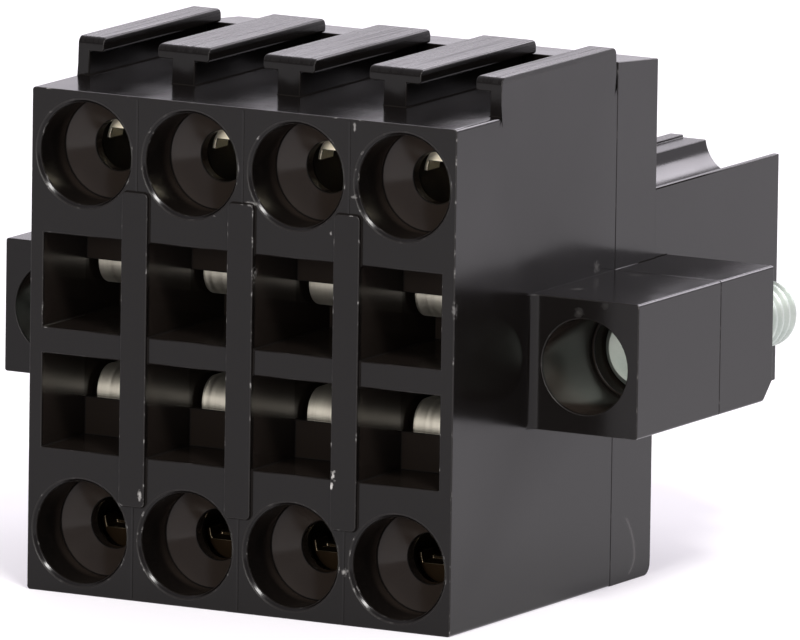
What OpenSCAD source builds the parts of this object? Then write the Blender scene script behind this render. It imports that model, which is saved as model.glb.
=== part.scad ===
// Two-row pluggable terminal block with leaf-spring clamps and a captive screw in each flange.
// X runs along the columns, the wire side faces -Y, the plug points to +Y and Z is up.

/* [Poles] */
// distance between neighbouring columns
pitch = 3.5; // [3.4:0.05:3.7]
// distance between the upper and the lower row of wire entries
wire_rows = 11.1; // [10.9:0.05:11.3]
// distance between the upper and the lower row of sockets
socket_rows = 3.5; // [3.4:0.05:3.7]

/* [Housing] */
// height of the housing without its rails
body_h = 14.75; // [14.6:0.05:15.2]
// depth of the front housing, from the wire face to the seam
front_d = 9.75; // [9.7:0.05:10.5]
// depth of the rear housing's block behind the seam
block_d = 2.45; // [2.2:0.05:3]
// length of the plug behind the block
plug_l = 7.7; // [7:0.1:9]
// radius of the long edges
edge_r = 0.1; // [0.06:0.02:0.4]
// how far the strips between the columns stand out of the wire face
strip_h = 0.12; // [0.08:0.02:0.2]

/* [Wire entries and slots] */
// radius of a wire funnel at the face
funnel_r = 1.5; // [1.3:0.05:1.55]
// depth of the funnel's straight part
funnel_d = 1.5; // [1.2:0.1:1.7]
// radius of the hole that takes the bare wire
wire_r = 0.75; // [0.6:0.05:0.85]
// width of a release slot
slot_w = 2.65; // [2.4:0.05:2.75]
// height of a release slot
slot_h = 2.77; // [2.5:0.05:2.9]
// height of the bridge between the upper and the lower slots
bridge_h = 0.76; // [0.6:0.02:1]

/* [Rails on top] */
// height of the rails
rail_h = 1.14; // [0.9:0.02:1.3]
// width of a rail's cap
rail_cap_w = 1.7; // [1.4:0.05:2]
// width of a rail's post
rail_post_w = 0.75; // [0.6:0.05:1]
// thickness of a rail's cap
rail_cap_t = 0.42; // [0.3:0.02:0.6]

/* [Flanges and screws] */
// height of a flange
flange_h = 3.94; // [3.7:0.02:4.2]
// distance from the wire face to the front of the flanges
flange_y = 4.75; // [4.5:0.05:5.2]
// length of the flanges' part behind the seam
flange_rear_d = 3.25; // [2.8:0.05:3.6]
// radius of the screw's thread
thread_r = 1; // [0.95:0.05:1.1]
// radius of the screw's neck
neck_r = 0.78; // [0.7:0.02:0.82]
// radius of the screw's head
head_r = 1.22; // [1.15:0.01:1.25]
// height of the screw's head
head_h = 1.5; // [1.3:0.05:1.6]
// length of thread that stands out behind the flange
thread_l = 3.35; // [2.5:0.05:4]

/* [Metal strips] */
// thickness of the spring strip
spring_t = 0.3; // [0.2:0.02:0.34]
// width of the spring strip
spring_w = 2.35; // [2:0.05:2.4]
// slope of the clamping leg
clamp_angle = 38; // [35:1:40]
// thickness of the contact strip
contact_t = 0.4; // [0.3:0.02:0.44]
// width of the contact bar
contact_w = 2; // [1.6:0.05:2.2]
// inner width of a socket, which takes a square pin
socket_w = 0.86; // [0.8:0.02:0.9]

/* [Hidden] */
$fn = 64;
columns = 4;
fit = 0.05;
bleed = 0.1;
body_w = columns * pitch;
mid_z = body_h / 2;
rear_y = front_d + block_d;
end_y = rear_y + plug_l;
face_y = strip_h;
column_x = [for (i = [0 : columns - 1]) (i - (columns - 1) / 2) * pitch];
border_x = [for (i = [0 : columns]) (i - columns / 2) * pitch];
rows = [1, -1];
// heights in a pole count from the middle of the housing towards the outside
wire_z = wire_rows / 2;
socket_z = socket_rows / 2;
slot_z0 = bridge_h / 2;
slot_z1 = slot_z0 + slot_h;
strip_z = 4.6;
strip_r = 0.15;
strip_w = pitch - slot_w;
rail_y0 = 2.75;
rail_back = 0.1;
rail_y1 = front_d - rail_back;
rail_r = 0.08;
rail_end_r = 0.22;
// clamp chamber behind the face
rim = 0.1;
cone_d = 0.5;
hole_l = 0.35;
front_wall = 0.83;
hole_y = face_y + funnel_d + cone_d;
hole_end_y = hole_y + hole_l;
chamber_y = hole_y + front_wall;
shelf_y = 2.65;
shelf_z = 2.03;
chamber_w = 2.6;
bar_rise = 0.4;
bar_z = wire_z + bar_rise;
chamber_z1 = bar_z + contact_t / 2 + fit;
guide_r = 0.79;
guide_t = 0.12;
guide_flat = 0.3;
guide_l = 0.75;
guide_y = chamber_y + fit;
guide_end_y = guide_y + guide_l;
leg_z = 1.35;
chamber_z0 = leg_z - spring_t / 2 - fit;
slot_d = 4.6;
// contact strip from the bar to the socket
bar_lap = 0.15;
bar_y = guide_end_y - bar_lap;
riser_back = 0.45;
riser_y = front_d - riser_back;
bend_r = 0.5;
tail_w = 1;
socket_t = 0.25;
socket_out = socket_w + 2 * socket_t;
socket_gap = 0.3;
mouth_d = 1;
socket_y0 = rear_y + socket_gap;
socket_y1 = end_y - mouth_d;
slit_w = 0.12;
slit_y = socket_y0 + mouth_d;
mouth_play = 0.12;
mouth_w = socket_w + 2 * mouth_play;
mouth_lead = 0.2;
// spring strip
bow_r = 0.6;
bow_gap = 0.1;
bow_y = chamber_y + bow_gap + bow_r + spring_t / 2;
leg_gap = 0.75;
leg_end_y = riser_y - leg_gap;
clamp_tip_z = bar_z - contact_t / 2 - fit - spring_t / 2;
// rear housing
block_rise_front = 0.69;
block_rise_rear = 0.48;
block_top_front = body_h + block_rise_front;
block_top_rear = body_h + block_rise_rear;
block_corner_r = 0.35;
plug_inset = 0.05;
plug_w = body_w - 2 * plug_inset;
plug_z0 = -2.75;
plug_z1 = 4;
shoulder_h = 0.2;
groove_x0 = 1.05;
groove_wall = 0.25;
groove_x1 = pitch - groove_wall;
border_rib_w = 0.5;
border_rib_h = 0.28;
groove_d = 0.8;
groove_half = (groove_x1 - groove_x0) / 2;
groove_r = (groove_half * groove_half + groove_d * groove_d) / (2 * groove_d);
peg_r = 0.5;
peg_l = 1.8;
// flanges and screws
flange_w = pitch;
flange_x = body_w / 2 + flange_w / 2;
flange_r = 0.08;
fillet_r = 0.3;
flange_rear_y = front_d + flange_rear_d;
flange_cut = 0.55;
bore_r = 1.4;
bore_l = 3;
bore_step_y = flange_y + bore_l;
head_gap = 0.08;
seat_r = head_r + head_gap;
screw_play = 0.15;
neck_play = 0.07;
head_y = front_d - screw_play - head_h;
thread_y = flange_rear_y + screw_play;
tip_y = thread_y + thread_l;
black = [0.16, 0.155, 0.155];
tinned = [0.82, 0.81, 0.77];
spring_steel = [0.74, 0.73, 0.70];
zinc = [0.80, 0.82, 0.80];

// puts the origin under the middle of the part, from coordinates that start at the wire face
module in_frame() {
    translate([0, -end_y / 2, 0]) children();
}

// places a pole's shape: column 0 is the left one, row 1 the upper and row -1 the lower, mirrored one
module at_pole(column, row) {
    translate([column_x[column], 0, mid_z]) mirror([0, 0, row < 0 ? 1 : 0]) children();
}

// extrudes a profile drawn in X and Z along Y
module along_y(y0, y1) {
    translate([0, y1, 0]) rotate([90, 0, 0]) linear_extrude(y1 - y0) children();
}

// extrudes a profile drawn in Y and Z along X, both ways from the middle
module across_x(width) {
    rotate([90, 0, 90]) linear_extrude(width, center = true) children();
}

// rectangle with round corners, centred on x and standing on z
module round_rect(width, z0, z1, r) {
    translate([-width / 2 + r, z0]) square([width - 2 * r, z1 - z0]);
    translate([-width / 2, z0 + r]) square([width, z1 - z0 - 2 * r]);
    for (x = [-1, 1], z = [z0 + r, z1 - r])
        translate([x * (width / 2 - r), z]) circle(r);
}

// straight run of a metal strip, seen from its edge
module strip_run(from, to, t) {
    run = to - from;
    translate(from) rotate(atan2(run[1], run[0])) translate([0, -t / 2]) square([norm(run), t]);
}

// bend of a metal strip about a centre, from one angle to another less than a half turn on
module strip_bend(centre, r, t, a0, a1) {
    reach = 4 * r;
    middle = (a0 + a1) / 2;
    translate(centre) intersection() {
        difference() {
            circle(r + t / 2);
            circle(r - t / 2);
        }
        polygon([[0, 0], for (a = [a0, middle, a1]) reach * [cos(a), sin(a)]]);
    }
}

// funnel of a wire entry with its rim, floor and wire hole
module wire_entry() {
    translate([0, 0, wire_z]) rotate([-90, 0, 0]) {
        cylinder(h = face_y + funnel_d, r = funnel_r);
        translate([0, 0, face_y]) cylinder(h = rim, r1 = funnel_r + rim, r2 = funnel_r);
        translate([0, 0, face_y + funnel_d]) cylinder(h = cone_d, r1 = funnel_r, r2 = wire_r);
        cylinder(h = hole_end_y + bleed, r = wire_r);
        translate([0, 0, hole_end_y]) cylinder(h = guide_end_y + fit - hole_end_y, r = guide_r + guide_t + fit);
    }
}

// release slot in the face, the shelf that covers the clamping leg and the clamp chamber behind it
module clamp_chamber() {
    translate([-slot_w / 2, -bleed, slot_z0]) cube([slot_w, shelf_y + bleed, slot_h]);
    translate([-slot_w / 2, -bleed, slot_z0]) cube([slot_w, slot_d + bleed, shelf_z - slot_z0]);
    translate([-chamber_w / 2, chamber_y, chamber_z0])
        cube([chamber_w, front_d + bleed - chamber_y, chamber_z1 - chamber_z0]);
}

// raised strip on the wire face between two columns
module face_strip(x) {
    along_y(0, face_y + bleed) translate([x, mid_z]) round_rect(strip_w, -strip_z, strip_z, strip_r);
}

// T-shaped rail on the top with rounded ends, cut flush with the side walls at both ends of the row
module rail(x) {
    intersection() {
        along_y(rail_y0, rail_y1) intersection() {
            translate([x, body_h]) {
                translate([-rail_post_w / 2, -edge_r]) square([rail_post_w, rail_h - rail_cap_t + edge_r + bleed]);
                round_rect(rail_cap_w, rail_h - rail_cap_t, rail_h, rail_r);
            }
            translate([-body_w / 2, 0]) square([body_w, 2 * body_h]);
        }
        across_x(2 * body_w) translate([(rail_y0 + rail_y1) / 2, body_h])
            round_rect(rail_y1 - rail_y0, -rail_h, rail_h, rail_end_r);
    }
}

// flange at the right, from the body's wall outwards
module flange(y0, y1) {
    along_y(y0, y1) translate([flange_x - flange_w / 4, mid_z])
        round_rect(1.5 * flange_w, -flange_h / 2, flange_h / 2, flange_r);
}

// hollow fillet in the corner between the flange's front and the side wall
module flange_fillet() {
    translate([body_w / 2, flange_y, mid_z]) linear_extrude(flange_h, center = true) difference() {
        translate([-bleed, -fillet_r]) square([fillet_r + bleed, fillet_r + bleed]);
        translate([fillet_r, -fillet_r]) circle(fillet_r);
    }
}

module both_sides() {
    children();
    mirror([1, 0, 0]) children();
}

module front_housing() {
    color(black) in_frame() difference() {
        union() {
            along_y(face_y, front_d) round_rect(body_w, 0, body_h, edge_r);
            for (x = border_x) rail(x);
            for (i = [1 : columns - 1]) face_strip(border_x[i]);
            both_sides() {
                flange(flange_y, front_d);
                flange_fillet();
            }
        }
        for (column = [0 : columns - 1], row = rows) at_pole(column, row) {
            wire_entry();
            clamp_chamber();
        }
        both_sides() along_y(flange_y - bleed, bore_step_y) translate([flange_x, mid_z]) circle(bore_r);
        both_sides() along_y(bore_step_y - bleed, front_d + bleed) translate([flange_x, mid_z]) circle(seat_r);
        both_sides() along_y(front_d - peg_l - fit, front_d + bleed)
            translate([pitch, mid_z]) circle(peg_r + fit);
    }
}

// side profile of the block behind the seam, with a round lower rear corner
module block_profile() {
    difference() {
        polygon([[front_d, 0], [rear_y, 0], [rear_y, block_top_rear], [front_d, block_top_front]]);
        translate([rear_y - block_corner_r, 0]) square(block_corner_r);
    }
    translate([rear_y - block_corner_r, block_corner_r]) circle(block_corner_r);
}

// end view of the plug, with a shoulder and a coding groove over each column
module plug_profile() {
    difference() {
        union() {
            translate([-plug_w / 2, plug_z0]) square([plug_w, plug_z1 - plug_z0]);
            for (x = column_x) translate([x - pitch / 2, plug_z1 - bleed]) {
                translate([plug_inset, 0]) square([groove_x0 - plug_inset, shoulder_h + bleed]);
                translate([-border_rib_w / 2, 0]) square([border_rib_w, border_rib_h + bleed]);
            }
        }
        for (x = column_x)
            translate([x - pitch / 2 + groove_x0 + groove_half, plug_z1 - groove_d + groove_r]) circle(groove_r);
        translate([-plug_w / 2 - pitch, plug_z1 - bleed]) square([pitch, plug_z1]);
    }
}

// way of a contact through the rear housing: tail slot, socket chamber and mouth
module contact_way() {
    translate([-tail_w / 2 - fit, front_d - bleed, socket_z - contact_t / 2 - fit])
        cube([tail_w + 2 * fit, socket_y0 - front_d + 2 * bleed, contact_t + 2 * fit]);
    along_y(socket_y0 - fit, socket_y1 + fit) translate([0, socket_z]) square(socket_out + 2 * fit, center = true);
    along_y(socket_y1, end_y + bleed) translate([0, socket_z]) square(mouth_w, center = true);
    translate([0, end_y - mouth_lead, socket_z]) rotate([-90, 45, 0])
        cylinder(h = 2 * mouth_lead, r1 = mouth_w / sqrt(2), r2 = (mouth_w + 4 * mouth_lead) / sqrt(2), $fn = 4);
}

module rear_housing() {
    color(black) in_frame() difference() {
        union() {
            across_x(body_w) block_profile();
            along_y(rear_y - bleed, end_y) translate([0, mid_z]) plug_profile();
            both_sides() difference() {
                flange(front_d, flange_rear_y);
                translate([0, flange_rear_y, mid_z - flange_h / 2]) rotate([45, 0, 0])
                    cube([3 * body_w, flange_cut * sqrt(2), flange_cut * sqrt(2)], center = true);
            }
            both_sides() along_y(front_d - peg_l, front_d + bleed) translate([pitch, mid_z]) circle(peg_r);
        }
        for (column = [0 : columns - 1], row = rows) at_pole(column, row) contact_way();
        both_sides() along_y(front_d - bleed, flange_rear_y + bleed)
            translate([flange_x, mid_z]) circle(neck_r + neck_play);
    }
}

// leaf spring of one pole: a leg on the chamber's floor, a bow at the front and the slanted clamping leg
module clamp_spring(column, row) {
    bow = [bow_y, leg_z + bow_r];
    bow_end = 90 + clamp_angle;
    clamp_start = bow + bow_r * [cos(bow_end), sin(bow_end)];
    clamp_l = (clamp_tip_z - clamp_start[1]) / sin(clamp_angle);
    clamp_end = clamp_start + clamp_l * [cos(clamp_angle), sin(clamp_angle)];
    color(spring_steel) in_frame() at_pole(column, row) across_x(spring_w) {
        strip_run([bow_y, leg_z], [leg_end_y, leg_z], spring_t);
        strip_bend(bow, bow_r, spring_t, bow_end, 270);
        strip_run(clamp_start, clamp_end, spring_t);
    }
}

// half-round front end of a contact with a flat inside, which leads the wire onto the bar
module wire_guide() {
    reach = 2 * guide_r;
    difference() {
        circle(guide_r + guide_t);
        translate([-reach, -reach]) square([2 * reach, reach]);
        intersection() {
            circle(guide_r);
            translate([-reach, -reach]) square([2 * reach, reach + guide_flat]);
        }
    }
}

// contact of one pole: wire guide, bar over the clamp, riser, tail and box socket, stamped from one strip
module socket_contact(column, row) {
    upper = [riser_y - bend_r, bar_z - bend_r];
    lower = [riser_y + bend_r, socket_z + bend_r];
    color(tinned) in_frame() at_pole(column, row) {
        across_x(contact_w) {
            strip_run([bar_y, bar_z], [riser_y - bend_r, bar_z], contact_t);
            strip_bend(upper, bend_r, contact_t, 0, 90);
            strip_run([riser_y, bar_z - bend_r], [riser_y, socket_z + bend_r], contact_t);
        }
        along_y(guide_y, guide_end_y) translate([0, wire_z]) wire_guide();
        across_x(tail_w) {
            strip_bend(lower, bend_r, contact_t, 180, 270);
            strip_run([riser_y + bend_r, socket_z], [socket_y0 + socket_t, socket_z], contact_t);
        }
        difference() {
            along_y(socket_y0, socket_y1) translate([0, socket_z]) square(socket_out, center = true);
            along_y(socket_y0 + socket_t, socket_y1 + bleed) translate([0, socket_z]) square(socket_w, center = true);
            translate([-slit_w / 2, slit_y, socket_z]) cube([slit_w, end_y, socket_out]);
        }
    }
}

// captive screw of a flange: slotted head, thin neck and thread
module flange_screw() {
    slot_t = 0.45;
    slot_deep = 0.6;
    edge = 0.2;
    point = 0.25;
    translate([flange_x, 0, mid_z]) rotate([-90, 0, 0]) difference() {
        rotate_extrude() polygon([[0, head_y], [head_r - edge, head_y], [head_r, head_y + edge],
            [head_r, head_y + head_h], [neck_r, head_y + head_h], [neck_r, thread_y],
            [thread_r, thread_y + thread_r - neck_r], [thread_r, tip_y - point],
            [thread_r - point, tip_y], [0, tip_y]]);
        translate([-slot_t / 2, -2 * head_r, head_y - bleed]) cube([slot_t, 4 * head_r, slot_deep + bleed]);
    }
}

module left_flange_screw() {
    color(zinc) in_frame() mirror([1, 0, 0]) flange_screw();
}

module right_flange_screw() {
    color(zinc) in_frame() flange_screw();
}

front_housing();
rear_housing();
for (i = [0 : 2 * columns - 1]) {
    column = i % columns;
    row = i < columns ? 1 : -1;
    clamp_spring(column, row);
    socket_contact(column, row);
}
left_flange_screw();
right_flange_screw();
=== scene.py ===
import math

import bmesh
import bpy
import numpy as np
from mathutils import Matrix, Vector


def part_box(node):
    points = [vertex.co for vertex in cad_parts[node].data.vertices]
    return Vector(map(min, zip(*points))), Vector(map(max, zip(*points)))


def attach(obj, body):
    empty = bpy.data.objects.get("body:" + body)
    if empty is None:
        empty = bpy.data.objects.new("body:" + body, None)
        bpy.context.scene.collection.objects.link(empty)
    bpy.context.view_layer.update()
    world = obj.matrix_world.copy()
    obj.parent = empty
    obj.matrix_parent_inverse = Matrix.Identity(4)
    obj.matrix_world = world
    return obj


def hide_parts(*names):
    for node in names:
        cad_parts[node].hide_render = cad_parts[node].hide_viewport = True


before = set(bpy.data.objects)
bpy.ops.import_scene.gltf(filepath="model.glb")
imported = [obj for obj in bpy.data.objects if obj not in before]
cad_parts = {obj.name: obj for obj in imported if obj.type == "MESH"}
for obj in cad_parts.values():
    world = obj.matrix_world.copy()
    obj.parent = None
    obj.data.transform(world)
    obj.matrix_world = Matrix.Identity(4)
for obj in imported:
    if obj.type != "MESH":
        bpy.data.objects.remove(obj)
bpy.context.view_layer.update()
scene = bpy.context.scene
MM = 0.001


# Viewpoint of the photograph: a long lens, a little above and to the right of the wire face.
# The picture is 800 by 640 pixels, and the middle of the wire face lies left of and below its centre.
PICTURE_W, PICTURE_H = 800, 640
VIEW_AZIMUTH = math.radians(28.93)
VIEW_ELEVATION = math.radians(9.73)
VIEW_ROLL = math.radians(-0.83)
VIEW_DISTANCE = 600 * MM
PIXELS_PER_MM = 34.775
FACE_PIXEL = (238.2, 360.8)
FACE_MIDDLE_Z = 7.4 * MM
SENSOR_W = 36.0
CLIP_NEAR, CLIP_FAR = 0.01, 10

housing_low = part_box("front_housing")[0]
face_centre = Vector((0, housing_low.y, FACE_MIDDLE_Z))
view_back = Vector((
    math.sin(VIEW_AZIMUTH) * math.cos(VIEW_ELEVATION),
    -math.cos(VIEW_AZIMUTH) * math.cos(VIEW_ELEVATION),
    math.sin(VIEW_ELEVATION),
))
view_turn = (-view_back).to_track_quat("-Z", "Y").to_matrix() @ Matrix.Rotation(-VIEW_ROLL, 3, "Z")
aim_right = (PICTURE_W / 2 - FACE_PIXEL[0]) / PIXELS_PER_MM * MM
aim_up = (FACE_PIXEL[1] - PICTURE_H / 2) / PIXELS_PER_MM * MM
aim = face_centre + view_turn @ Vector((aim_right, aim_up, 0))
camera_data = bpy.data.cameras.new("photo_camera")
camera_data.sensor_width = SENSOR_W
camera_data.lens = PIXELS_PER_MM * (VIEW_DISTANCE / MM) * SENSOR_W / PICTURE_W
camera_data.clip_start = CLIP_NEAR
camera_data.clip_end = CLIP_FAR
camera = bpy.data.objects.new("photo_camera", camera_data)
camera.matrix_world = Matrix.Translation(aim + view_back * VIEW_DISTANCE) @ view_turn.to_4x4()
scene.collection.objects.link(camera)
scene.camera = camera


# Front and rear housing: two black polyester mouldings that meet at a seam behind the flanges' fronts.
# Moulded edges are never sharp, so each solid is shown with its edges rounded by a few hundredths of a
# millimetre, and the rounding carries the lighter, rubbed finish that handling leaves on edges.
EDGE_ROUND = 0.032 * MM
# Edges that bend by more than SHARP_FROM are rounded, and ROOM_SHARE is the share of the distance to the next
# edge that the rounding may take. Edges that are in line by more than IN_LINE_FROM follow one curve.
SHARP_FROM = math.radians(32)
ROOM_SHARE = 0.36
IN_LINE_FROM = 0.8
# How close triangles and points are to count as flat, as one, or as lying on a cut.
FLAT_WITHIN = math.radians(0.3)
WELD = 0.0005 * MM
ON_CUT = 0.0002 * MM
CUT_SLACK = 1e-8
NO_LENGTH = 1e-9
PITCH = 3.5 * MM
COLUMN_MIDDLES = [x * MM for x in (-8.75, -5.25, -1.75, 1.75, 5.25, 8.75)]
COLUMN_BORDERS = [x * MM for x in (-3.5, 0, 3.5)]


def rounding_share(work, width):
    """For each edge, the share of the width that it can be rounded by: 0 where it isn't sharp, and less than
    1 where another sharp edge of the same panel runs beside it, nearer than about three widths.

    The distance of two edges of a panel is the least from an end of one to the line of the other, and edges
    that follow each other along a curve don't count.
    """
    ends = np.array([[v.co[:] for v in edge.verts] for edge in work.edges])
    corner = np.array([[v.index for v in edge.verts] for edge in work.edges])
    sharp = np.array([edge.calc_face_angle(math.pi) > SHARP_FROM for edge in work.edges])
    run = ends[:, 1] - ends[:, 0]
    length = np.linalg.norm(run, axis=1)
    room = np.full(len(ends), np.inf)
    for face in work.faces:
        own = np.array([edge.index for edge in face.edges])
        own = own[sharp[own]]
        one, other = (own[side] for side in np.triu_indices(len(own), 1))
        apart = (corner[one][:, :, None] != corner[other][:, None, :]).all(axis=(1, 2))
        for a, b in ((one[apart], other[apart]), (other[apart], one[apart])):
            for end in (0, 1):
                gap = ends[a, end] - ends[b, 0]
                along = np.clip((gap * run[b]).sum(axis=1) / length[b] ** 2, 0, 1)
                across = gap - along[:, None] * run[b]
                away = np.maximum(np.linalg.norm(across, axis=1), NO_LENGTH)
                in_line = [np.abs((across * run[e]).sum(axis=1)) / (away * length[e]) for e in (a, b)]
                beside = np.minimum(*in_line) < IN_LINE_FROM
                np.minimum.at(room, a[beside], away[beside])
                np.minimum.at(room, b[beside], away[beside])
    return np.where(sharp, np.clip(ROOM_SHARE * room / width, 0, 1), 0)


def softened(node, body, width, materials, cuts=()):
    """A copy of a CAD solid with its triangles merged into flat panels and its edges over SHARP_FROM rounded.

    The panels end at the planes x = cut, which run through the middle of each opening, so that no panel has
    a hole in it and the rounding meets every panel border squarely. A strip has no cuts, and all its edges
    are rounded alike. The value inner_corner is 1 at the ends of edges that mostly turn inward.
    """
    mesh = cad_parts[node].data.copy()
    mesh.name = node + "_softened"
    work = bmesh.new()
    work.from_mesh(mesh)
    bmesh.ops.remove_doubles(work, verts=work.verts, dist=WELD)
    for cut in cuts:
        whole = work.verts[:] + work.edges[:] + work.faces[:]
        bmesh.ops.bisect_plane(work, geom=whole, dist=CUT_SLACK, plane_co=(cut, 0, 0), plane_no=(1, 0, 0))
    bmesh.ops.remove_doubles(work, verts=work.verts, dist=WELD)
    free = [e for e in work.edges
            if not any(abs(e.verts[0].co.x - cut) + abs(e.verts[1].co.x - cut) < ON_CUT for cut in cuts)]
    bmesh.ops.dissolve_limit(work, angle_limit=FLAT_WITHIN, verts=work.verts, edges=free)
    for face in work.faces:
        face.smooth = True
        face.material_index = 0
    for group in (work.verts, work.edges):
        group.index_update()
    weight = work.edges.layers.float.new("bevel_weight_edge")
    shares = rounding_share(work, width)
    for edge, share in zip(work.edges, shares if cuts else np.sign(shares)):
        edge[weight] = share
    inner = work.verts.layers.float.new("inner_corner")
    for vert in work.verts:
        bends = np.array([edge.calc_face_angle_signed(0) for edge in vert.link_edges])
        vert[inner] = (bends < -SHARP_FROM).sum() > (bends > SHARP_FROM).sum()
    work.to_mesh(mesh)
    work.free()
    for name in ("custom_normal", "sharp_edge", "sharp_face"):
        if name in mesh.attributes:
            mesh.attributes.remove(mesh.attributes[name])
    mesh.materials.clear()
    for material in materials:
        mesh.materials.append(material)
    piece = bpy.data.objects.new(node + "_softened", mesh)
    scene.collection.objects.link(piece)
    rounding = piece.modifiers.new("edge_rounding", "BEVEL")
    rounding.limit_method = "WEIGHT"
    rounding.width = width
    rounding.segments = 2
    rounding.use_clamp_overlap = False
    rounding.material = len(materials) - 1
    rounding.harden_normals = True
    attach(piece, body)
    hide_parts(node)


# The sizes of the housings' finish: grain, drifts of gloss, chips on edges, ragged outlines of marks, and
# streaks along the rails.
GRAIN = 0.07 * MM
CLOUD = 2.2 * MM
CHIP = 0.3 * MM
SPECK = 0.1 * MM
STREAK = 0.12 * MM
STREAK_LENGTH = 50 * STREAK
# Where a finish holds: the wire face, the openings behind it, the flanges' bores, the upper faces, and the
# edges that show chips. Each is soft at its ends.
SOFT = 0.1 * MM
FACE_Y = (-9.8 * MM, -9.62 * MM)
OPENINGS_X, OPENINGS_Z = (-6.95 * MM, 6.95 * MM), (0.1 * MM, 14.6 * MM)
SLOTS_Y, SLOTS_Z = (-9.8 * MM, -2.0 * MM), (3.8 * MM, 10.95 * MM)
FUNNELS_Y, FUNNELS_SOFT = (-8.8 * MM, -2.0 * MM), 0.3 * MM
LEDGES_Y, LEDGES_SOFT = (-7.4 * MM, -2.0 * MM), 0.08 * MM
BORES_X, BORES_Y = (7.3 * MM, 10.2 * MM), (-5.15 * MM, -1.5 * MM)
BORES_Z = (5.9 * MM, 8.85 * MM)
TOP_FACE_X, TOP_FACE_Z = (-6.97 * MM, 6.97 * MM), (14.68 * MM, 14.82 * MM)
TOP_FACE_SOFT = 0.02 * MM
RAIL_TOPS_Z, RAIL_TOPS_SOFT = (15.7 * MM, 16.0 * MM), 0.05 * MM
NEAR_FACE_Y = (-9.5 * MM, -9.0 * MM)
BESIDE_BORDER = (0.5 * MM, 0.7 * MM)
FLANGE_RIM_X, FLANGE_RIM_Z = (10.3 * MM, 10.4 * MM), (8.0 * MM, 9.0 * MM)
# How much of the dust and painted light of the recesses the slots get, and how ragged the wire face's marks
# and the specks are, as shares of 1.
SLOT_DUST_AND_PAINTED_LIGHT = 0.4
MARK_RAGGED, SPECK_RAGGED = 0.5, 0.3
# Pale marks on the wire face, partly chips and partly painted highlights, in mm: x, z, half of their width
# and height, and how pale they are, from 0 to 1.
PALE_MARKS_AND_HIGHLIGHTS = [
    (-3.21, 3.13, 0.07, 0.13, 0.8), (3.19, 4.35, 0.08, 0.13, 1.0), (3.12, 4.04, 0.08, 0.12, 1.0),
    (3.55, 1.55, 0.11, 0.1, 0.45), (0.3, 12.0, 0.17, 0.07, 0.35), (3.68, 12.5, 0.1, 0.07, 0.25),
    (6.98, 9.5, 0.08, 0.24, 0.2), (-0.93, 11.52, 0.05, 0.04, 0.4), (2.92, 11.37, 0.04, 0.09, 0.4),
    (3.66, 14.55, 0.05, 0.14, 0.4), (0.47, 9.94, 0.06, 0.22, 0.4),
]
# Specks on the right flange and the wall above it, in mm: x, y, z, radius, and how pale they are.
FLANGE_SPECKS = [
    (7.0, -1.32, 9.58, 0.2, 0.2), (7.7, -3.74, 9.34, 0.24, 0.14), (8.55, -5.2, 8.93, 0.18, 0.06),
    (9.4, -5.2, 9.22, 0.15, 0.03), (7.95, -0.7, 9.34, 0.26, 0.08),
]
# A scratch low on the right wall: its rearmost point, the height of its ends, how far forward they lie, half
# of its width, and how pale it is.
SCRATCH_Y, SCRATCH_Z = 1.27 * MM, 0.7 * MM
SCRATCH_TOP, SCRATCH_LOW = 1.95 * MM, 0.15 * MM
SCRATCH_LEAN, SCRATCH_HOOK = 0.6 * MM, 0.4 * MM
SCRATCH_HALF, SCRATCH_PALE = 0.11 * MM, 0.12
RIGHT_WALL_X = (6.97 * MM, 6.99 * MM)


def linear(hex_colour):
    """An sRGB hex colour as linear RGBA."""
    srgb = np.array([int(hex_colour[i:i + 2], 16) / 255 for i in (1, 3, 5)])
    value = np.where(srgb <= 0.04045, srgb / 12.92, ((srgb + 0.055) / 1.055) ** 2.4)
    return (*value, 1.0)


def add(tree, kind, *ordered, **named):
    """Adds a shader node and gives back its outputs.

    Inputs come in the node's own order or by name, each a socket to link or a value to set, and a name that
    is no input is a property of the node. A map range takes a value, the range it comes in, and the range it
    goes to.
    """
    made = tree.nodes.new("ShaderNode" + kind)
    inputs = {socket.identifier.replace(" ", "_"): socket for socket in made.inputs}
    given = list(zip(made.inputs, ordered))
    for name, value in named.items():
        if name in inputs:
            given.append((inputs[name], value))
        else:
            setattr(made, name, value)
    for socket, value in given:
        if isinstance(value, bpy.types.NodeSocket):
            tree.links.new(value, socket)
        else:
            socket.default_value = value
    return {socket.identifier: socket for socket in made.outputs}


def new_material(name):
    """A named material, its empty tree, and the coordinates of the object that it is on."""
    material = bpy.data.materials.new(name)
    material.use_nodes = True
    tree = material.node_tree
    tree.nodes.clear()
    return material, tree, add(tree, "TexCoord")["Object"]


def between(tree, value, low, high, soft):
    """1 from low to high, with a soft step of the given width inside each end, and 0 elsewhere."""
    rise = add(tree, "MapRange", value, low, low + soft, 0.0, 1.0)["Result"]
    fall = add(tree, "MapRange", value, high - soft, high, 1.0, 0.0)["Result"]
    return add(tree, "Math", rise, fall, operation="MULTIPLY")["Value"]


def ragged_outline(tree, place, reach):
    """A noise that pushes the outline of a mark in and out by up to the given share of its size."""
    noise = add(tree, "TexNoise", Vector=place, Scale=1 / SPECK, Detail=2.0)["Fac"]
    return add(tree, "MapRange", noise, 0.3, 0.7, -reach, reach)["Result"]


def mark_distance(tree, place, centre, half):
    """How far a point is from the centre of a mark, counted in half sizes of the mark along each axis, with
    centre and half in mm. An axis with an endless half size doesn't count."""
    shift = [-c / h for c, h in zip(centre, half)]
    scale = [1 / (h * MM) for h in half]
    local = add(tree, "Mapping", Vector=place, Location=shift, Scale=scale)["Vector"]
    return add(tree, "VectorMath", local, operation="LENGTH")["Value"]


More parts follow.
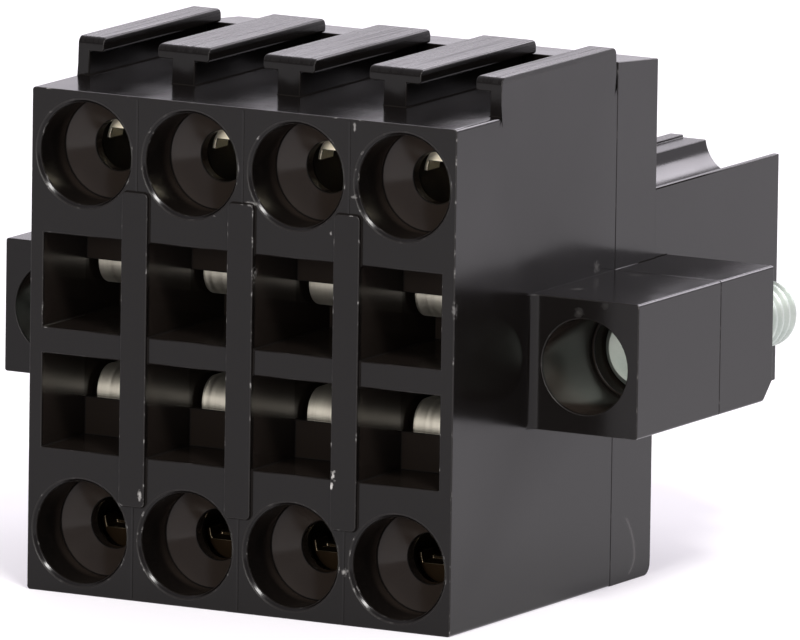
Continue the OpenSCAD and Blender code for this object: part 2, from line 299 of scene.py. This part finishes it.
def wire_face_marks_and_highlights(tree, place):
    """How pale the listed marks make the wire face, partly chips and partly painted highlights: ragged
    ellipses, and 0 elsewhere.
    """
    ragged = ragged_outline(tree, place, MARK_RAGGED)
    pale_marks = 0.0
    for x, z, half_w, half_h, pale in PALE_MARKS_AND_HIGHLIGHTS:
        distance = mark_distance(tree, place, (x, 0, z), (half_w, math.inf, half_h))
        distance = add(tree, "Math", distance, ragged, operation="ADD")["Value"]
        mark = add(tree, "MapRange", distance, 0.2, 1.05, pale, 0.0)["Result"]
        pale_marks = add(tree, "Math", pale_marks, mark, operation="MAXIMUM")["Value"]
    depth = add(tree, "SeparateXYZ", place)["Y"]
    at_face = add(tree, "MapRange", depth, *FACE_Y, 1.0, 0.0)["Result"]
    return add(tree, "Math", pale_marks, at_face, operation="MULTIPLY")["Value"]


def scratch_wear(tree, place):
    """How pale the scratch makes the right wall: a line that leaves its rearmost point upward and downward,
    and bends forward with the square of the height in between."""
    axis = add(tree, "SeparateXYZ", place)
    course = axis["Y"]
    for end, forward in ((SCRATCH_TOP, SCRATCH_LEAN), (SCRATCH_LOW, SCRATCH_HOOK)):
        share = add(tree, "MapRange", axis["Z"], SCRATCH_Z, end, 0.0, 1.0)["Result"]
        square = add(tree, "Math", share, share, operation="MULTIPLY")["Value"]
        course = add(tree, "Math", square, forward, course, operation="MULTIPLY_ADD")["Value"]
    line = between(tree, course, SCRATCH_Y - SCRATCH_HALF, SCRATCH_Y + SCRATCH_HALF, SCRATCH_HALF)
    tall = between(tree, axis["Z"], SCRATCH_LOW, SCRATCH_TOP, SOFT)
    on_wall = add(tree, "MapRange", axis["X"], *RIGHT_WALL_X, 0.0, SCRATCH_PALE)["Result"]
    line = add(tree, "Math", line, tall, operation="MULTIPLY")["Value"]
    return add(tree, "Math", line, on_wall, operation="MULTIPLY")["Value"]


def side_wear(tree, place):
    """How pale the scratch and the specks of FLANGE_SPECKS make the right side, and 0 elsewhere."""
    ragged = ragged_outline(tree, place, SPECK_RAGGED)
    pale_marks = scratch_wear(tree, place)
    for x, y, z, radius, pale in FLANGE_SPECKS:
        distance = mark_distance(tree, place, (x, y, z), [radius] * 3)
        distance = add(tree, "Math", distance, ragged, operation="ADD")["Value"]
        speck = add(tree, "MapRange", distance, 0.0, 1.0, pale, 0.0)["Result"]
        pale_marks = add(tree, "Math", pale_marks, speck, operation="MAXIMUM")["Value"]
    return pale_marks


def in_openings(tree, axis):
    """1 inside the body's outline, seen from the front, and 0 outside it."""
    wide = between(tree, axis["X"], *OPENINGS_X, SOFT)
    tall = between(tree, axis["Z"], *OPENINGS_Z, SOFT)
    return add(tree, "Math", wide, tall, operation="MULTIPLY")["Value"]


def behind_ledges(tree, place):
    """1 behind the ledges in the slots, where hardly any light comes back, and 0 elsewhere. It turns the
    reflection down there as painted shade.
    """
    axis = add(tree, "SeparateXYZ", place)
    deep = between(tree, axis["Y"], *LEDGES_Y, LEDGES_SOFT)
    return add(tree, "Math", in_openings(tree, axis), deep, operation="MULTIPLY")["Value"]


def in_bores(tree, axis):
    """1 inside the bores of both flanges, and 0 elsewhere."""
    across = add(tree, "Math", axis["X"], operation="ABSOLUTE")["Value"]
    wide = between(tree, across, *BORES_X, SOFT)
    tall = between(tree, axis["Z"], *BORES_Z, SOFT)
    deep = between(tree, axis["Y"], *BORES_Y, SOFT)
    square = add(tree, "Math", wide, tall, operation="MULTIPLY")["Value"]
    return add(tree, "Math", square, deep, operation="MULTIPLY")["Value"]


def dust_and_painted_light(tree, place):
    """How dusty a place is, and how much painted light lifts its shade: 1 on the floors of the wire funnels
    and the walls behind them, in the two outer rows, and in the flanges' bores, less all over the slots, and
    0 elsewhere. The lighter colour there is partly dust and partly painted light in these recesses."""
    axis = add(tree, "SeparateXYZ", place)
    within = in_openings(tree, axis)
    slot_rows = between(tree, axis["Z"], *SLOTS_Z, SOFT)
    funnel_rows = add(tree, "Math", within, slot_rows, operation="SUBTRACT")["Value"]
    floors = between(tree, axis["Y"], *FUNNELS_Y, FUNNELS_SOFT)
    in_funnels = add(tree, "Math", funnel_rows, floors, operation="MULTIPLY")["Value"]
    slot_walls = between(tree, axis["Y"], *SLOTS_Y, SOFT)
    in_slots = add(tree, "Math", slot_rows, slot_walls, operation="MULTIPLY")["Value"]
    thin = add(tree, "MapRange", in_slots, 0.0, 1.0, 0.0, SLOT_DUST_AND_PAINTED_LIGHT)["Result"]
    dusty_and_lit = add(tree, "Math", in_funnels, thin, operation="MAXIMUM")["Value"]
    dusty_and_lit = add(tree, "Math", within, dusty_and_lit, operation="MULTIPLY")["Value"]
    return add(tree, "Math", dusty_and_lit, in_bores(tree, axis), operation="MAXIMUM")["Value"]


# Moulded polyester: near black with a warm cast, and glossy enough that most of what the eye sees is what it
# reflects. The gloss drifts over a few millimetres; the top face is smoother, and the rails are streaked
# along their length. Pale marks on the wire face are partly chips and partly painted highlights, and a few
# specks and one scratch lie on the right side. The recesses are painted lighter, partly for dust and partly
# as painted light, and behind the ledges the reflection is turned down as painted shade.
polyester, tree, place = new_material("moulded_black_polyester")
axis = add(tree, "SeparateXYZ", place)
pale = add(tree, "Math", side_wear(tree, place), wire_face_marks_and_highlights(tree, place), operation="MAXIMUM")["Value"]
# Painted light: the recesses are coloured lighter, partly for dust and partly to lift their shade.
dusty_and_lit_colour = add(tree, "Mix", data_type="RGBA", Factor_Float=dust_and_painted_light(tree, place),
                 A_Color=linear("#0c0a09"), B_Color=linear("#28221e"))["Result_Color"]
colour = add(tree, "Mix", data_type="RGBA", Factor_Float=pale,
             A_Color=dusty_and_lit_colour, B_Color=linear("#a8a6a3"))["Result_Color"]
cloud = add(tree, "TexNoise", Vector=place, Scale=1 / CLOUD, Detail=4.0)["Fac"]
moulded = add(tree, "MapRange", cloud, 0.3, 0.7, 0.14, 0.22)["Result"]
top_wide = between(tree, axis["X"], *TOP_FACE_X, TOP_FACE_SOFT)
top_high = between(tree, axis["Z"], *TOP_FACE_Z, TOP_FACE_SOFT)
on_top = add(tree, "Math", top_wide, top_high, operation="MULTIPLY")["Value"]
polish = add(tree, "MapRange", on_top, 0.0, 1.0, 1.0, 0.8)["Result"]
moulded = add(tree, "Math", moulded, polish, operation="MULTIPLY")["Value"]
drawn = add(tree, "Mapping", Vector=place, Scale=(1 / STREAK, 1 / STREAK_LENGTH, 0))["Vector"]
streak = add(tree, "TexNoise", Vector=drawn, Scale=1.0, Detail=3.0)["Fac"]
streaked = add(tree, "MapRange", streak, 0.35, 0.65, 0.18, 0.46)["Result"]
on_rails = between(tree, axis["Z"], *RAIL_TOPS_Z, RAIL_TOPS_SOFT)
roughness = add(tree, "Mix", Factor_Float=on_rails, A_Float=moulded, B_Float=streaked)["Result_Float"]
# Painted shade: behind the ledges the reflection is turned down.
sheen_with_painted_shade = add(tree, "MapRange", behind_ledges(tree, place), 0.0, 1.0, 0.25, 0.08)["Result"]
grain = add(tree, "TexNoise", Vector=place, Scale=1 / GRAIN, Detail=3.0)["Fac"]
bump = add(tree, "Bump", Strength=0.06, Distance=0.01 * MM, Height=grain)["Normal"]
surface = add(tree, "BsdfPrincipled", Base_Color=colour, Roughness=roughness, IOR=1.46,
              Specular_IOR_Level=sheen_with_painted_shade, Normal=bump)["BSDF"]
add(tree, "OutputMaterial", Surface=surface)

# Rubbed polyester: the same plastic where edges have been handled, greyer and duller, with pale chips along
# the edges of the wire face, and with the wire face's pale marks, which are partly chips and partly painted
# highlights. Inner corners, which no hand reaches, have no chips, and their reflection is taken away as
# painted shade; behind the ledges it is turned down as painted shade too.
rubbed, tree, place = new_material("rubbed_black_polyester")
axis = add(tree, "SeparateXYZ", place)
chip = add(tree, "TexNoise", Vector=place, Scale=1 / CHIP, Detail=4.0, Roughness=0.65)["Fac"]
chips_and_highlights = add(tree, "MapRange", chip, 0.58, 0.75, 0.0, 0.6)["Result"]
rim_wide = add(tree, "MapRange", axis["X"], *FLANGE_RIM_X, 0.0, 0.6)["Result"]
rim_high = add(tree, "MapRange", axis["Z"], *FLANGE_RIM_Z, 0.0, 1.0)["Result"]
flange_rim = add(tree, "Math", rim_wide, rim_high, operation="MULTIPLY")["Value"]
near_face = add(tree, "MapRange", axis["Y"], *NEAR_FACE_Y, 1.0, 0.25)["Result"]
handled = add(tree, "Math", near_face, flange_rim, operation="MAXIMUM")["Value"]
chips_and_highlights = add(tree, "Math", chips_and_highlights, handled, operation="MULTIPLY")["Value"]
from_border = add(tree, "Math", axis["X"], PITCH / 2, operation="PINGPONG")["Value"]
by_border = add(tree, "MapRange", from_border, *BESIDE_BORDER, 1.0, 0.12)["Result"]
chips_and_highlights = add(tree, "Math", chips_and_highlights, by_border, operation="MULTIPLY")["Value"]
# The wire face's pale marks reach onto its edges too: partly chips, partly painted highlights.
chips_and_highlights = add(tree, "Math", chips_and_highlights, wire_face_marks_and_highlights(tree, place), operation="MAXIMUM")["Value"]
inner = add(tree, "Attribute", attribute_name="inner_corner")["Fac"]
outward = add(tree, "MapRange", inner, 0.0, 0.6, 1.0, 0.0)["Result"]
chips_and_highlights = add(tree, "Math", chips_and_highlights, outward, operation="MULTIPLY")["Value"]
colour = add(tree, "Mix", data_type="RGBA", Factor_Float=chips_and_highlights,
             A_Color=linear("#171514"), B_Color=linear("#b4b2af"))["Result_Color"]
# Painted shade: the reflection is turned down behind the ledges and taken away in inner corners.
sheen_with_painted_shade = add(tree, "MapRange", behind_ledges(tree, place), 0.0, 1.0, 0.25, 0.05)["Result"]
sheen_with_painted_shade = add(tree, "Math", sheen_with_painted_shade, outward, operation="MULTIPLY")["Value"]
surface = add(tree, "BsdfPrincipled", Base_Color=colour, Roughness=0.34, IOR=1.46,
              Specular_IOR_Level=sheen_with_painted_shade)["BSDF"]
add(tree, "OutputMaterial", Surface=surface)

softened("front_housing", "housing", EDGE_ROUND, [polyester, rubbed],
         COLUMN_MIDDLES + COLUMN_BORDERS)
softened("rear_housing", "housing", EDGE_ROUND, [polyester, rubbed],
         COLUMN_MIDDLES + COLUMN_BORDERS)


# Clamp springs: bright rolled spring steel, 0.3 mm thick, bent once at the front so that the bow shows in
# the slot, and pressed into the chamber by its own spring. Rolling leaves fine lines along the strip, which
# blur what it reflects into a soft band.
POLES = range(1, 9)
STRIP_EDGE = 0.03 * MM
ROLL_LINE = 0.045 * MM
ROLL_LENGTH = 50 / 3 * MM

spring_steel, tree, place = new_material("rolled_spring_steel")
lines_scale = (1 / ROLL_LINE, 1 / ROLL_LENGTH, 1 / ROLL_LENGTH)
along = add(tree, "Mapping", Vector=place, Scale=lines_scale)["Vector"]
rolled = add(tree, "TexNoise", Vector=along, Scale=1.0, Detail=2.0)["Fac"]
colour = add(tree, "Mix", data_type="RGBA", Factor_Float=rolled,
             A_Color=linear("#cfc9bb"), B_Color=linear("#e3ded2"))["Result_Color"]
roughness = add(tree, "MapRange", rolled, 0.3, 0.7, 0.4, 0.55)["Result"]
surface = add(tree, "BsdfPrincipled", Base_Color=colour, Roughness=roughness, Metallic=1.0)["BSDF"]
add(tree, "OutputMaterial", Surface=surface)
for pole in POLES:
    softened(f"clamp_spring_{pole}", "housing", STRIP_EDGE, [spring_steel])


# Socket contacts: tinned copper strip, stamped and folded into a wire guide, a bar, a riser and a box socket.
# Each is pushed into its chamber from behind, and its tail runs through the rear housing.
TIN_PATCH = 0.4 * MM
# Where the lower row's painted shade lies: its heights and the depths of the wire guides.
LOW_ROW_Z, GUIDES_Y = (3.0 * MM, 5.0 * MM), (-5.0 * MM, -3.0 * MM)
TIN_TONES = [(0.1, "#241b12"), (0.4, "#c4b07c"), (0.65, "#fbf3dc")]

# Tinned copper: soft, pale and slightly golden. The wire guides of the lower row are painted nearly black as
# painted shade, and the darkest of the tones mostly serves that shade.
tinned_copper, tree, place = new_material("tinned_copper")
axis = add(tree, "SeparateXYZ", place)
patch = add(tree, "TexNoise", Vector=place, Scale=1 / TIN_PATCH, Detail=3.0)["Fac"]
in_low_row = add(tree, "MapRange", axis["Z"], *LOW_ROW_Z, 1.0, 0.0)["Result"]
in_guides = add(tree, "MapRange", axis["Y"], *GUIDES_Y, 1.0, 0.0)["Result"]
# Painted shade: the lower row's wire guides are darkened.
painted_shade = add(tree, "Math", in_low_row, in_guides, operation="MULTIPLY")["Value"]
bright = add(tree, "Math", patch, painted_shade, operation="SUBTRACT")["Value"]
bright = add(tree, "MapRange", bright, -0.4, 0.7, 0.0, 1.0)["Result"]
colour = add(tree, "ValToRGB", bright)["Color"]
stops = colour.node.color_ramp.elements
stops.new(TIN_TONES[2][0])
for stop, (at, tone) in zip(stops, TIN_TONES):
    stop.position = at
    stop.color = linear(tone)
roughness = add(tree, "MapRange", patch, 0.3, 0.7, 0.5, 0.6)["Result"]
surface = add(tree, "BsdfPrincipled", Base_Color=colour, Roughness=roughness, Metallic=1.0)["BSDF"]
add(tree, "OutputMaterial", Surface=surface)

# Rubbed tin: the rounded edges of the strip, smoother than its faces, and painted darker in the lower row as
# painted shade.
rubbed_tin, tree, place = new_material("rubbed_tin")
height = add(tree, "SeparateXYZ", place)["Z"]
above_low_row = add(tree, "MapRange", height, *LOW_ROW_Z, 0.0, 1.0)["Result"]
colour = add(tree, "Mix", data_type="RGBA", Factor_Float=above_low_row,
             A_Color=linear("#6e6350"), B_Color=linear("#e9e0c6"))["Result_Color"]
surface = add(tree, "BsdfPrincipled", Base_Color=colour, Roughness=0.25, Metallic=1.0)["BSDF"]
add(tree, "OutputMaterial", Surface=surface)
for pole in POLES:
    softened(f"socket_contact_{pole}", "housing", STRIP_EDGE, [tinned_copper, rubbed_tin])


# Flange screws: turned from steel, rolled thread, zinc plated with a faintly green passivation.
# Each is held in its flange by the thin neck between the head and the thread. Sizes are in mm, and lengths
# count from the head's face.
HEAD_R, HEAD_EDGE, HEAD_H = 1.22, 0.2, 1.5
BROKEN_EDGE = 0.03
SLOT_W, SLOT_DEEP = 0.45, 0.6
LAND_SUNK = 0.02
CROWN_MIDDLE, FLAT_ARC = (0, 0.4, 0.5), 0.99
NECK_R, THREAD_R, THREAD_PITCH = 0.78, 0.995, 0.4
ROOT_SUNK = 0.01
CREST_REACH, FLANK_SLOPE = 1.35, 3.2
THREAD_FROM, SCREW_L = 5.05, 8.4
POINT, POINT_REACH = 0.75, 0.95
AROUND, THREAD_RINGS, PLAIN_RINGS = 72, 200, 12
ARC_POINTS, CHORD_POINTS = 40, 20
CREASE_FROM = math.radians(35)
TOOL_MARK = 0.06 * MM
TINT = 0.9 * MM


def ring_surface(name, shells, material):
    """One mesh of closed shells, each a grid: ring after ring along the shell, with points round each ring.

    The first and the last ring of a shell shrink to their middle, which closes the ends.
    """
    points = []
    faces = []
    base = 0
    for rings in shells:
        count, around = rings.shape[:2]
        ends = rings[[0, -1]].mean(axis=1)
        points += [ends[:1], rings[1:-1].reshape(-1, 3), ends[1:]]
        index = base + 1 + np.arange((count - 2) * around).reshape(count - 2, around)
        after = np.roll(index, -1, axis=1)
        last = np.full(around, base + 1 + (count - 2) * around)
        first = np.full(around, base)
        faces += np.stack([index[:-1], index[1:], after[1:], after[:-1]], axis=-1).reshape(-1, 4).tolist()
        faces += np.stack([first, index[0], after[0]], axis=-1).tolist()
        faces += np.stack([last, after[-1], index[-1]], axis=-1).tolist()
        base += 2 + (count - 2) * around
    mesh = bpy.data.meshes.new(name)
    mesh.from_pydata(np.concatenate(points), [], faces)
    mesh.shade_smooth()
    mesh.set_sharp_from_angle(angle=CREASE_FROM)
    mesh.materials.append(material)
    piece = bpy.data.objects.new(name, mesh)
    scene.collection.objects.link(piece)
    return piece


def screw_shank(head):
    """The screw below its slot, with the middle of its face at head: the radius follows the head, the neck
    and a thread whose crest climbs one pitch for each turn round the axis. The thread is cut off by the
    point, which is a quarter of an ellipse, blunt at its end."""
    corners = np.array([
        (0, SLOT_DEEP), (0.5 * HEAD_R, SLOT_DEEP), (HEAD_R, SLOT_DEEP), (HEAD_R, HEAD_H - BROKEN_EDGE),
        (HEAD_R - BROKEN_EDGE, HEAD_H), (NECK_R, HEAD_H), (NECK_R, THREAD_FROM)])
    steps = np.linspace(0, 1, PLAIN_RINGS)[:, None]
    plain = np.concatenate([a + (b - a) * steps for a, b in zip(corners[:-1], corners[1:])])
    threaded = np.linspace(THREAD_FROM, SCREW_L, THREAD_RINGS)
    along = np.concatenate([plain[:, 1], threaded, [SCREW_L, SCREW_L]])[:, None]
    turn = np.linspace(0, 2 * np.pi, AROUND, endpoint=False)
    climb = (threaded[:, None] / THREAD_PITCH - turn / (2 * np.pi)) % 1
    flank = np.clip(CREST_REACH - FLANK_SLOPE * np.abs(climb - 0.5), 0, 1)
    share = np.clip(1 - (SCREW_L - threaded) / POINT, 0, 1)
    point = THREAD_R * np.sqrt(1 - (POINT_REACH * share) ** 2)
    envelope = np.minimum(NECK_R + threaded - THREAD_FROM, point)
    crest = np.minimum(NECK_R - ROOT_SUNK + (THREAD_R - NECK_R) * flank, envelope[:, None])
    plain_radius = np.repeat(plain[:, :1], AROUND, axis=1)
    radius = np.concatenate([plain_radius, crest, 0.5 * crest[-1:], 0 * crest[-1:]])
    return np.stack([
        head.x + MM * radius * np.cos(turn),
        head.y + MM * np.repeat(along, AROUND, axis=1),
        head.z + MM * radius * np.sin(turn)], axis=-1)


def screw_land(head, side):
    """One half of the head beside its slot: rings of an arc and its chord, drawn in towards the crown. Each
    has its depth, the arc's radius and the chord's distance from the axis. The first closes the crown."""
    crown_r = HEAD_R - HEAD_EDGE
    half_slot = SLOT_W / 2
    rings = np.array([
        CROWN_MIDDLE,
        (0, crown_r, half_slot + BROKEN_EDGE),
        (BROKEN_EDGE, crown_r + BROKEN_EDGE, half_slot),
        (HEAD_EDGE, HEAD_R, half_slot),
        (SLOT_DEEP, HEAD_R, half_slot),
        (SLOT_DEEP + LAND_SUNK, HEAD_R, half_slot)])
    deep, arc_r, chord = rings[:, 0:1], rings[:, 1:2], rings[:, 2:3]
    half = np.arccos(np.minimum(chord / arc_r, FLAT_ARC))
    sweep = np.linspace(-1, 1, ARC_POINTS)
    down = np.linspace(1, -1, CHORD_POINTS + 2)[1:-1]
    across = np.concatenate([arc_r * np.cos(half * sweep), chord * np.ones((1, CHORD_POINTS))], axis=1)
    upward = np.concatenate([arc_r * np.sin(half * sweep), arc_r * np.sin(half) * down], axis=1)
    return np.stack([
        head.x + MM * side * across,
        head.y + MM * np.repeat(deep, ARC_POINTS + CHORD_POINTS, axis=1),
        head.z + MM * side * upward], axis=-1)


# Zinc plate: a pale, faintly green grey, made dull by the fine marks of the tool.
zinc_plate, tree, place = new_material("zinc_plated_steel")
tool = add(tree, "TexNoise", Vector=place, Scale=1 / TOOL_MARK, Detail=3.0)["Fac"]
tint = add(tree, "TexNoise", Vector=place, Scale=1 / TINT, Detail=2.0)["Fac"]
colour = add(tree, "Mix", data_type="RGBA", Factor_Float=tint,
             A_Color=linear("#aab6af"), B_Color=linear("#ced3cc"))["Result_Color"]
roughness = add(tree, "MapRange", tool, 0.3, 0.7, 0.46, 0.6)["Result"]
bump = add(tree, "Bump", Strength=0.1, Distance=0.01 * MM, Height=tool)["Normal"]
surface = add(tree, "BsdfPrincipled", Base_Color=colour, Roughness=roughness, Metallic=1.0,
              Normal=bump)["BSDF"]
add(tree, "OutputMaterial", Surface=surface)
for side in ("left", "right"):
    low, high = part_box(f"{side}_flange_screw")
    head = (low + high) / 2
    head.y = low.y
    shells = [screw_shank(head), screw_land(head, 1), screw_land(head, -1)]
    screw = ring_surface(f"{side}_slotted_screw", shells, zinc_plate)
    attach(screw, f"{side}_screw")
    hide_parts(f"{side}_flange_screw")


# Mould lines: where the mould's inserts for two columns meet, a hair of plastic stands out of the wire face
# above and below the strips. They are part of the moulding and have its finish.
LINE_W, LINE_H = 0.07 * MM, 0.025 * MM
LINE_FROM, LINE_TO, LINE_MIDDLE_Z = 4.62 * MM, 7.3 * MM, 7.375 * MM
STRIP_H = 0.12 * MM
LINE_AROUND = 10

line_run = np.array([LINE_FROM, LINE_FROM, 0.5 * (LINE_FROM + LINE_TO), LINE_TO, LINE_TO])[:, None]
line_size = np.array([0, 1, 1, 1, 0])[:, None]
turn = np.linspace(0, 2 * np.pi, LINE_AROUND, endpoint=False)
lines = []
for border in COLUMN_BORDERS:
    for row in (1, -1):
        lines.append(np.stack([
            border + LINE_W / 2 * line_size * np.cos(turn),
            housing_low.y + STRIP_H + LINE_H * line_size * row * np.sin(turn),
            LINE_MIDDLE_Z + row * np.repeat(line_run, LINE_AROUND, axis=1)], axis=-1))
mould_lines = ring_surface("mould_lines", lines, polyester)
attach(mould_lines, "housing")


# Floor and light: a pale light table, which keeps the shadows weak, lit from behind by a broad soft box and a
# smaller one for the right side, with one in front that reaches the metal in the openings and one above for
# the rims.
FLOOR_HALF = 1.5
TABLE_GLOW = 0.4
SKY_FRONT, SKY_BACK = 0.32, 1.08
LIGHT_AIM = Vector((0, 0, 7 * MM))
LILAC = (1.0, 0.95, 1.03)
WARM = (1.0, 0.98, 0.94)
WARM_WHITE = (1.0, 0.98, 0.96)

floor_mesh = bpy.data.meshes.new("floor")
floor_corners = np.array([(-1, -1, 0), (1, -1, 0), (1, 1, 0), (-1, 1, 0)]) * FLOOR_HALF
floor_mesh.from_pydata(floor_corners, [], [(0, 1, 2, 3)])
floor = bpy.data.objects.new("floor", floor_mesh)
scene.collection.objects.link(floor)
paper, tree, place = new_material("pale_paper")
surface = add(tree, "BsdfPrincipled", Base_Color=linear("#c8c8c8"), Roughness=0.9,
              Emission_Color=(*LILAC, 1), Emission_Strength=TABLE_GLOW)["BSDF"]
add(tree, "OutputMaterial", Surface=surface)
floor_mesh.materials.append(paper)

world = bpy.data.worlds.new("studio")
world.use_nodes = True
sky = world.node_tree
direction = add(sky, "TexCoord")["Generated"]
backward = add(sky, "SeparateXYZ", direction)["Y"]
glow = add(sky, "MapRange", backward, -1.0, 1.0, SKY_FRONT, SKY_BACK)["Result"]
sky.links.new(glow, sky.nodes["Background"].inputs["Strength"])
sky.nodes["Background"].inputs["Color"].default_value = (*LILAC, 1)
scene.world = world
scene.view_settings.view_transform = "Standard"


def soft_box(name, place_mm, size_mm, watts, colour):
    """A square area light that faces the part's middle, with its place and size in mm."""
    light = bpy.data.lights.new(name, "AREA")
    light.size = size_mm * MM
    light.energy = watts
    light.color = colour
    lamp = bpy.data.objects.new(name, light)
    spot = Vector(place_mm) * MM
    lamp.location = spot
    lamp.rotation_euler = (LIGHT_AIM - spot).to_track_quat("-Z", "Y").to_euler()
    scene.collection.objects.link(lamp)


soft_box("rear_soft_box", (-90, 165, 130), 120, 0.13, LILAC)
soft_box("side_soft_box", (40, 125, 75), 55, 0.07, LILAC)
soft_box("front_soft_box", (20, -255, 60), 70, 0.4, WARM)
soft_box("top_soft_box", (135, -130, 228), 60, 0.6, WARM_WHITE)
